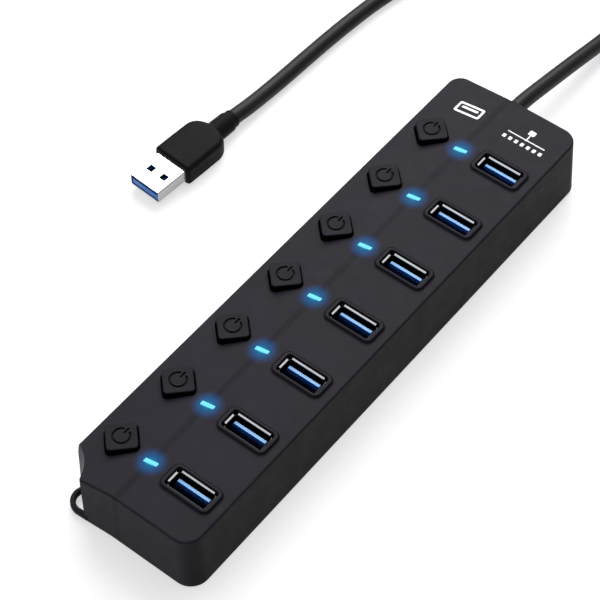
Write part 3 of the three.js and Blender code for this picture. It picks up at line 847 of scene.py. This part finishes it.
def cut_corner(form):
    """Slices the near left corner off, rounds the three edges of the slice and scoops its top."""
    top = plane_at((-LEFT_SLOPE, 0, 1), (RIDGE_X, 0, TOP_Z))
    left = plane_at((-1, 0, 0), (-BASE_HALF.x, 0, 0))
    front_foot = (0, -BASE_HALF.y - END_SPLAY, WALL_FOOT_Z + FOOT_ROUND)
    front = plane_at((0, -WALL_RISE, END_DRAFT), front_foot)
    form = cut(form, beyond(*CUT_PLANE, CORNER_NEAR))
    for plane, radius in ((top, 0.7), (left, 0.9), (front, 0.9)):
        form = cut(form, *round_between(CUT_PLANE, plane, radius, CORNER_NEAR))
    return cut(form, corner_scoop())


def strap_bar():
    """The round bar that stands out of the slice, for a strap, and runs on along the near end."""
    section = rounded_rect((STRAP_BAR / 2, (STRAP_TOP_Z - WALL_FOOT_Z) / 2), 0.55, 4)()
    mid_z = (STRAP_TOP_Z + WALL_FOOT_Z) / 2
    turns = [math.radians(100 + 170 * step / 24) for step in range(25)]
    path = [(STRAP_CENTRE, Vector((math.cos(turn), math.sin(turn)))) for turn in turns]
    path.append((STRAP_CENTRE + Vector((3.6, 0.16)), Vector((0, -1))))
    rings = []
    for centre, out in path:
        middle_line = centre + (STRAP_RADIUS - STRAP_BAR / 2) * out
        rings.append([(*(middle_line + out * side), mid_z + up) for side, up in section])
    return loft(rings)


def collar(y):
    profile = [(0.7, TOP_Z - 0.4), *fillet(0.7, TOP_Z - 0.01), *quarter(0.5, COLLAR_TOP_Z)]
    return stack(rounded_rect(COLLAR_HALF, 2.0, 8), profile, PORT_X, y)


def mouth(y):
    rim = quarter(0.3, COLLAR_TOP_Z, 1)
    profile = [(0, TOP_Z - 5), *rim, (0.3, COLLAR_TOP_Z + 2)]
    return stack(rounded_rect(MOUTH_HALF, 0.9, 6), profile, PORT_X, y)


DIAMOND = turned_by(rounded_rect((CAP_SIDE / 2, CAP_SIDE / 2), CAP_CORNER, 6), 45)
OPENING_ROUND = 0.25


def button_opening(y):
    rim = [(CAP_GAP + growth, z) for growth, z in quarter(OPENING_ROUND, TOP_Z, 1)]
    profile = [(CAP_GAP, TOP_Z - 9), *rim, (CAP_GAP + OPENING_ROUND, TOP_Z + 4)]
    return stack(DIAMOND, profile, BUTTON_X, y, drop)


def window_bar(growth=0.0):
    """A window's outline: a bar whose long sides run askew to X."""
    return [(x, y + WINDOW_SKEW * x) for x, y in rounded_rect(WINDOW_HALF, 0.14, 3)(growth)]


def window_opening(y):
    clearance = 0.1
    rim = [(clearance + growth, z) for growth, z in quarter(0.1, TOP_Z - RIDGE_GROOVE - 0.02, 1, 3)]
    profile = [(clearance, TOP_Z - 4), *rim, (clearance + 0.1, TOP_Z + 3)]
    return stack(window_bar, profile, RIDGE_X, y)


def gland_hole():
    hole = stack(circle(3.75, 40), [(0, -8), (0, 6)])
    turn = Matrix.Rotation(-math.pi / 2, 4, "X")
    return placed(hole, Matrix.Translation((EXIT.x, BASE_HALF.y, EXIT.z)) @ turn)


def screw_boss(k):
    place = middle(f"screw_{k}")
    top = TOP_Z + drop(place.x) - TOP_PLATE / 2
    return stack(circle(2.7, 24), [(0, 2.9), (0, top)], place.x, place.y)


def screw_pilot(k):
    place = middle(f"screw_{k}")
    return stack(circle(1.1, 16), [(0, 0), (0, 11.5)], place.x, place.y)


def top_cover():
    hollow = cut(inner_form(), beyond(CUT_PLANE[0], CUT_PLANE[1] - WALL, CORNER_NEAR, 80))
    cover = cut(cut_corner(outer_form()), hollow)
    cover = joined(cover, strap_bar())
    cover = joined(cover, *[collar(y) for y in STATION_Y])
    cover = joined(cover, *[screw_boss(k) for k in SCREWS])
    openings = [opening(y) for y in STATION_Y for opening in (mouth, window_opening)]
    openings += [button_opening(y) for y in BUTTON_Y]
    cover = cut(cover, *openings, gland_hole(), *[screw_pilot(k) for k in SCREWS])
    return cover


piece("housing_cover", top_cover(), HOUSING, ["top_cover"], sharp=40)


# ---------------------------------------------------------------- printed marks

INK_HEIGHT = 0.05
SOCKET_SIGN = (-10.8, 81.3)
DOT_PITCH = 2.15
DOTS_X = PORT_X - 0.7


def mark(half, x, y, radius=0.25, top=TOP_Z + INK_HEIGHT):
    return stack(rounded_rect(half, radius, 4), [(0, TOP_Z - 0.3), (0, top)], x, y, drop)


def printed_marks():
    """Plain signs in place of lettering: a socket on the left, one dot that feeds seven on the right."""
    x, y = SOCKET_SIGN
    socket = cut(mark((4.6, 2.3), x, y, 0.7), mark((3.8, 1.5), x, y, 0.3, TOP_Z + 1))
    tongue = mark((2.9, 0.45), x, y + 0.4, 0.2)
    row = [mark((0.55, 0.7), DOTS_X + DOT_PITCH * (k - 4), 78.6, 0.2) for k in PORTS]
    rail = mark((3 * DOT_PITCH + 0.2, 0.2), DOTS_X, 80.9, 0.15)
    stem = mark((0.2, 1.3), DOTS_X, 81.8, 0.15)
    head = mark((1.1, 1.0), DOTS_X, 84.2, 0.4)
    return together([socket, tongue, joined(rail, stem), head, *row])


piece("printed_marks", printed_marks(), INK)


# ---------------------------------------------------------------- buttons

SIGN_RADIUS = 2.44
SIGN_LINE = 0.27  # half width
SIGN_DEPTH = 0.45
SIGN_GAP = math.radians(27)  # half the angle of the ring's opening


def around(centre, radius, turns):
    return [(centre[0] + radius * math.cos(turn), centre[1] + radius * math.sin(turn)) for turn in turns]


def open_ring(growth):
    """The outline of a ring that is open towards +Y, with round ends."""
    half = SIGN_LINE + growth
    start = math.pi / 2 + SIGN_GAP
    sweep = 2 * math.pi - 2 * SIGN_GAP
    turns = [start + sweep * i / 40 for i in range(41)]
    far_end = around((0, 0), SIGN_RADIUS, turns[-1:])[0]
    near_end = around((0, 0), SIGN_RADIUS, turns[:1])[0]
    return [
        *around((0, 0), SIGN_RADIUS + half, turns),
        *around(far_end, half, [turns[-1] + math.pi * i / 6 for i in range(1, 6)]),
        *around((0, 0), SIGN_RADIUS - half, reversed(turns)),
        *around(near_end, half, [start + math.pi * (1 + i / 6) for i in range(1, 6)]),
    ]


def bar(growth):
    outline = rounded_rect((SIGN_LINE, 1.1), SIGN_LINE, 4)
    return [(x, y + 2.1) for x, y in outline(growth)]


def button_cap():
    """One cap at its place across the hub, at y 0. Its sides are upright and its face is level."""
    low, high = span("button_cap_1")
    top = CAP_TOP_Z
    cap = stack(DIAMOND, [(0, low.z), *quarter(0.3, top)], BUTTON_X, 0)
    cap = joined(cap, block((1.5, (high.y - low.y) / 2), low.z, 16.6, BUTTON_X, 0, 0.2))
    groove = [(0, top - SIGN_DEPTH), (0, top - 0.09), (0.1, top + 0.02), (0.1, top + 1)]
    for outline in (open_ring, bar):
        cap = cut(cap, stack(outline, groove, BUTTON_X, 0))
    plunger_hole = stack(rounded_rect((1.9, 1.9), 0.1, 1), [(0, low.z - 1), (0, 17.3)], BUTTON_X, 0)
    return cut(cap, plunger_hole)


CAP = button_cap()
for k, y in zip(PORTS, BUTTON_Y):
    nodes = [f"button_cap_{k}"]
    piece(f"button_{k}_cap", CAP, BUTTON, nodes, f"button_{k}", (0, y, 0), sharp=38)


# ---------------------------------------------------------------- sockets


def wall_tube(outline, thickness, low, high):
    """An upright tube with thin walls."""
    rings = [[(x, y, z) for x, y in outline(g)]
             for g, z in ((0, low), (0, high), (-thickness, high), (-thickness, low))]
    return loft(rings, closed=True)


def lip(length, out):
    """A flared lip on one side of the mouth, running along X at distance out from the middle."""
    low = LIP_LOW_Z - LIP_SINK
    profile = [
        (out - SHELL_WALL, low), (out - SHELL_WALL + 0.03, LIP_LOW_Z + 0.05),
        (out + LIP_REACH - 0.04, SHELL_HIGH.z - 0.01), (out + LIP_REACH, SHELL_HIGH.z - 0.04),
        (out + LIP_REACH, SHELL_HIGH.z - 0.2), (out - 0.01, LIP_LOW_Z), (out - 0.01, low),
    ]
    return loft([[(x, y, z) for y, z in profile] for x in (-length, length)])


def spring(x, side):
    """A contact spring bent into the mouth from a long wall."""
    wall = SHELL_HALF.y - SHELL_WALL / 2
    wide = 0.65
    thick = 0.12
    section = ((-wide, -thick), (wide, -thick), (wide, thick), (-wide, thick))
    steps = 8
    rings = []
    for step in range(steps + 1):
        t = step / steps
        inward = 0.95 * math.sin(math.pi * min(1.0, t * 1.12)) ** 1.5
        y = side * (wall - inward)
        z = 12.6 + 6.2 * t
        rings.append([(x + dx, y + dy, z) for dx, dy in section])
    return loft(rings)


def port_shell():
    outline = rounded_rect(SHELL_HALF, 0.7, 4)
    shell = wall_tube(outline, SHELL_WALL, SHELL_LOW.z, LIP_LOW_Z - LIP_SINK + 0.1)
    quarter_turn = Matrix.Rotation(math.pi / 2, 4, "Z")
    half_turn = Matrix.Rotation(math.pi, 4, "Z")
    far = lip(SHELL_HALF.x - 0.95, SHELL_HALF.y)
    left = placed(lip(SHELL_HALF.y - 1.05, SHELL_HALF.x), quarter_turn)
    sunk = half_turn @ Matrix.Translation((0, 0, -LIP_SINK))
    shell = joined(shell, far, left, placed(far, sunk), placed(left, sunk))
    wall = SHELL_HALF.y - SHELL_WALL / 2
    springs = []
    for x in SPRING_X:
        shell = cut(shell, block((0.95, SHELL_HALF.y + 2), 12.2, 19.1, x, 0, 0.1))
        springs += [spring(x, side) for side in (-1, 1)]
    roots = [block((1.3, 0.14), 11.4, 12.9, x, side * wall, 0.04) for x in SPRING_X for side in (-1, 1)]
    return joined(shell, *springs, *roots)


def port_insulator():
    half = (SHELL_HALF.x - SHELL_WALL - 0.02, SHELL_HALF.y - SHELL_WALL - 0.02)
    base = block(half, SHELL_LOW.z, INSULATOR_BASE_Z, 0, 0, 0.25)
    tip = [(0, INSULATOR_BASE_Z - 1), (0, TONGUE_TOP_Z - 1.0)]
    tip += [(-0.4, TONGUE_TOP_Z - 0.1), (-0.48, TONGUE_TOP_Z)]
    tongue = stack(rounded_rect(TONGUE_HALF, 0.2, 3), tip, 0, TONGUE_Y)
    near = TONGUE_Y - TONGUE_HALF.y
    solid = joined(base, tongue)
    for x in CONTACT_X:
        channel = block((0.55, 0.45), INSULATOR_BASE_Z + 0.4, TONGUE_TOP_Z - 2.6, x, near, 0.04)
        solid = cut(solid, channel)
    for x in TIP_CONTACT_X:
        solid = cut(solid, block((0.42, 0.32), TONGUE_TOP_Z - 2.2, TONGUE_TOP_Z - 0.8, x, near, 0.04))
    return solid


def port_contacts():
    near = TONGUE_Y - TONGUE_HALF.y
    low = INSULATOR_BASE_Z - 0.5
    contacts = []
    for x in CONTACT_X:
        contacts.append(block((0.42, 0.1), low, TONGUE_TOP_Z - 2.8, x, near + 0.3, 0.04))
    for x in TIP_CONTACT_X:
        contacts.append(block((0.34, 0.1), TONGUE_TOP_Z - 2.1, TONGUE_TOP_Z - 1.1, x, near + 0.16, 0.04))
    return together(contacts)


PORT_SHELL = port_shell()
PORT_INSULATOR = port_insulator()
PORT_CONTACTS = port_contacts()
for k, y in zip(PORTS, STATION_Y):
    place = (PORT_X, y, 0)
    piece(f"port_{k}_shell", PORT_SHELL, SOCKET_STEEL_PAINTED_SHADE, [f"port_shell_{k}"], at=place)
    piece(f"port_{k}_insulator", PORT_INSULATOR, PAINTED_SHADE_TONGUE, [f"port_insulator_{k}"], at=place)
    piece(f"port_{k}_contacts", PORT_CONTACTS, PAINTED_SHADE_GOLD, at=place)


# ---------------------------------------------------------------- indicator windows


def light_pipe():
    low, high = span("led_light_pipe_1")
    head = stack(window_bar, [(0, 17.0), *quarter(0.1, high.z, steps=3)])
    stem = stack(rounded_rect((1.2, 0.4), 0.15, 3), [(-0.1, low.z), (0, low.z + 0.4), (0, 18.0)])
    return joined(head, stem)


LIGHT_PIPE = light_pipe()
for k, y in zip(PORTS, STATION_Y):
    piece(f"window_{k}", LIGHT_PIPE, WINDOW, [f"led_light_pipe_{k}"], at=(RIDGE_X, y, 0))


# ---------------------------------------------------------------- underside


def bottom_cover():
    low, high = span("bottom_cover")
    plate_top = 2.6
    outline = rounded_rect(high.xy, CORNER_RADIUS - 2.3, 8)
    profile = [*foot_round(0.35, low.z), (0, plate_top)]
    cover = stack(outline, profile)
    cover = cut(cover, beyond(CUT_PLANE[0], CUT_PLANE[1] - WALL - 0.3, CORNER_NEAR))
    for k in SCREWS:
        place = middle(f"screw_{k}")
        well = [(0.25, -1), (0.25, low.z), (0, low.z + 0.25), (0, 2.0)]
        well = stack(circle(2.4, 32), well, place.x, place.y)
        hole = stack(circle(1.1, 24), [(0, 0), (0, 5)], place.x, place.y)
        cover = cut(cover, well, hole)
    recess = [(0, -1), (0, low.z + 0.35)]
    for name in FEET:
        cover = cut(cover, stack(rounded_rect((17.3, 5.3), 3.2, 8), recess, 0, middle(name).y))
    slot = [(0, -1), (0, low.z + 0.6)]
    for y in (-26, 0, 26):
        for x in (-9, 9):
            cover = cut(cover, stack(rounded_rect((6, 0.6), 0.55, 5), slot, x, y))
    pegs = []
    for peg_x in (PORT_X, BUTTON_X):
        for i in (0, 5):
            peg_y = STATION_Y[i] - PORT_PITCH / 2
            profile = [(1.2, plate_top - 0.5), (1.2, 3.1), (0, 3.1), *quarter(0.3, high.z, steps=2)]
            pegs.append(stack(circle(1.4, 24), profile, peg_x, peg_y))
    return joined(cover, *pegs)


def foot(name):
    low, high = span(name)
    place = middle(name)
    half = ((high.x - low.x) / 2, (high.y - low.y) / 2)
    outline = rounded_rect(half, 3.0, 8)
    return stack(outline, [*foot_round(0.25, 0.0), (0, 1.1)], place.x, place.y)


def screw():
    low, high = span("screw_1")
    radius = 2.1
    profile = [
        (0.9 - radius, low.z), *foot_round(0.35, low.z), (0, 1.7),
        (0.8 - radius, 1.7), (0.8 - radius, high.z - 1), (0.1 - radius, high.z),
    ]
    solid = stack(circle(radius, 32), profile)
    arm = rounded_rect((1.15, 0.24), 0.1, 2)
    taper = [(0.05, low.z - 1), (0.05, low.z), (-0.1, low.z + 0.45)]
    return cut(solid, stack(arm, taper), stack(turned_by(arm, 90), taper))


piece("base_cover", bottom_cover(), COVER, ["bottom_cover"])
for name in FEET:
    piece(f"rubber_{name}", foot(name), RUBBER, [name])
SCREW_MESH = screw()
for k in SCREWS:
    place = middle(f"screw_{k}")
    piece(f"case_screw_{k}", SCREW_MESH, SCREW, [f"screw_{k}"], at=(place.x, place.y, 0))


# ---------------------------------------------------------------- inside


def board_parts():
    """Small parts soldered round the two hub chips and under each window."""
    top = span("circuit_board")[1].z
    parts = []
    for k in (1, 2):
        chip = middle(f"hub_chip_{k}")
        for i in range(6):
            x = chip.x - 7.5 if i < 3 else chip.x + 7.5
            y = chip.y + 2.6 * (i % 3 - 1)
            parts.append(block((0.8, 0.4), top, top + 0.6, x, y, 0.08))
        parts.append(block((2.4, 1.1), top, top + 1.1, chip.x, chip.y + 6.4, 0.3))
    for y in STATION_Y:
        parts.append(block((0.9, 0.6), top, top + 0.9, RIDGE_X, y, 0.1))
    return together(parts)


piece("board_parts", board_parts(), PLUNGER)

INSIDE = {
    "circuit_board": (BOARD, "board"),
    "hub_chip_1": (CHIP, "chip"),
    "hub_chip_2": (CHIP, "chip"),
}
for k in PORTS:
    INSIDE[f"switch_housing_{k}"] = (SWITCH, "switch_body")
    INSIDE[f"switch_plunger_{k}"] = (PLUNGER, "plunger")
for name, (material, slot) in INSIDE.items():
    carried = frame["nodes"][name]
    carried.data.materials.clear()
    carried.data.materials.append(material)


# ---------------------------------------------------------------- gland and plug


def gland():
    """A turned strain relief with two shallow grooves, its hole filled by the lead."""
    length = GLAND_HIGH.y - GLAND_LOW.y
    wall = BASE_HALF.y - GLAND_LOW.y
    neck = 3.6
    profile = [
        (1.6, 0), (1.6, 1.8), (0, 1.8), (0, wall - 0.1), (0.7, wall), (0.7, wall + 0.8), (0.55, wall + 1.0),
        (0.1, wall + 1.1), (0.1, wall + 1.6), (0.2, wall + 1.7), (0.05, wall + 2.4), (-0.12, wall + 2.5),
        (-0.12, wall + 3.0), (-0.05, wall + 3.1), *[(growth - 0.2, z) for growth, z in quarter(0.3, length)],
    ]
    solid = stack(circle(neck, 40), profile)
    turn = Matrix.Rotation(-math.pi / 2, 4, "X")
    return placed(solid, Matrix.Translation((EXIT.x, GLAND_LOW.y, EXIT.z)) @ turn)


def across(half, radius, along, steps=6):
    """A ring of the plug: a rounded rectangle that stands across its length."""
    return [(x, along, z) for x, z in rounded_rect(half, radius, steps)()]


def plug_overmould():
    # distance from the front face, half width, half height, corner radius
    sections = [
        (0.0, 6.75, 3.3, 1.2), (0.12, 7.02, 3.55, 1.35), (0.45, 7.25, 3.82, 1.5), (0.8, 7.3, 3.9, 1.55),
        (7.0, 7.3, 3.9, 1.55), (13.6, 7.25, 3.9, 1.6), (14.8, 7.1, 3.88, 1.7), (15.8, 6.8, 3.86, 1.9),
        (16.7, 6.3, 3.84, 2.2), (17.4, 5.6, 3.8, 2.6), (17.9, 4.9, 3.74, 2.9), (18.25, 4.2, 3.66, 3.2),
        (18.5, 3.66, 3.56, 3.4), (19.0, 3.52, 3.5, 3.45), (24.6, 3.44, 3.44, 3.42), (25.2, 3.36, 3.36, 3.34),
        (25.5, 3.1, 3.1, 3.08), (25.6, 3.02, 3.02, 3.0), (27.2, 2.98, 2.98, 2.96), (27.3, 2.8, 2.8, 2.78),
    ]
    rings = [across((wide, tall), radius, PLUG_BARE + along) for along, wide, tall, radius in sections]
    body = loft(rings)
    parting = 0.09
    for side in (-1, 1):
        seam = block((parting, 7), -parting, parting, side * 7.3, PLUG_BARE + 7.5, 0.03)
        body = cut(body, seam)
    pocket_end = PLUG_BARE + 3.3
    half = (PLUG_SHELL_HALF.x + 0.05, PLUG_SHELL_HALF.y + 0.05)
    pocket = loft([across(half, 0.65, PLUG_BARE - 1), across(half, 0.65, pocket_end)])
    return placed(cut(body, pocket), PLUG_MATRIX)


def plug_shell():
    inner = (PLUG_SHELL_HALF.x - SHELL_WALL, PLUG_SHELL_HALF.y - SHELL_WALL)
    end = PLUG_BARE + 3
    levels = [
        (PLUG_SHELL_HALF, 0.55, 0.1), (PLUG_SHELL_HALF, 0.55, end),
        (inner, 0.28, end), (inner, 0.28, 0.1), (inner, 0.28, 0.06),
        ((inner[0] + 0.1, inner[1] + 0.1), 0.35, 0),
        ((PLUG_SHELL_HALF.x - 0.1, PLUG_SHELL_HALF.y - 0.1), 0.45, 0),
    ]
    shell = loft([across(half, radius, along) for half, radius, along in levels], closed=True)
    for x in (-2.75, 2.75):
        shell = cut(shell, block((1.2, 1.2), -5, 5, x, 5.9, 0.12))
    seam = block((0.05, 9), -5, -1, 0, 7, 0.02)
    return placed(cut(shell, seam), PLUG_MATRIX)


def plug_insulator():
    half_x = PLUG_SHELL_HALF.x - SHELL_WALL - 0.03
    floor_z = -PLUG_SHELL_HALF.y + SHELL_WALL + 0.03
    insert = block((half_x, 6.2), floor_z, 0.1, 0, 6.6, 0.12)
    rear = block((half_x, 1.6), floor_z, -floor_z, 0, 13.7, 0.12)
    solid = joined(insert, rear)
    for x in CONTACT_X:
        solid = cut(solid, block((0.6, 3.7), -0.2, 2.0, x, 5.4, 0.03))
    return placed(solid, PLUG_MATRIX)


def plug_contacts():
    strips = [block((0.5, 3.6), -0.35, -0.08, x, 5.4, 0.05) for x in CONTACT_X]
    springs = [block((0.4, 0.8), 0.0, 0.42, x, 10.2, 0.15) for x in (-4, -2, 0, 2, 4)]
    return placed(together([*strips, *springs]), PLUG_MATRIX)


GLAND_PIECE = piece("strain_relief", gland(), RUBBER, ["cable_gland"])
PLUG_PIECES = [
    piece("plug_body", plug_overmould(), PLUG_PLASTIC, ["plug_overmould"], sharp=50),
    piece("plug_steel_shell", plug_shell(), PLUG_STEEL_PAINTED_SHADE, ["plug_shell"]),
    piece("plug_insert", plug_insulator(), BLUE, ["plug_insulator"]),
    piece("plug_contacts", plug_contacts(), GOLD),
]
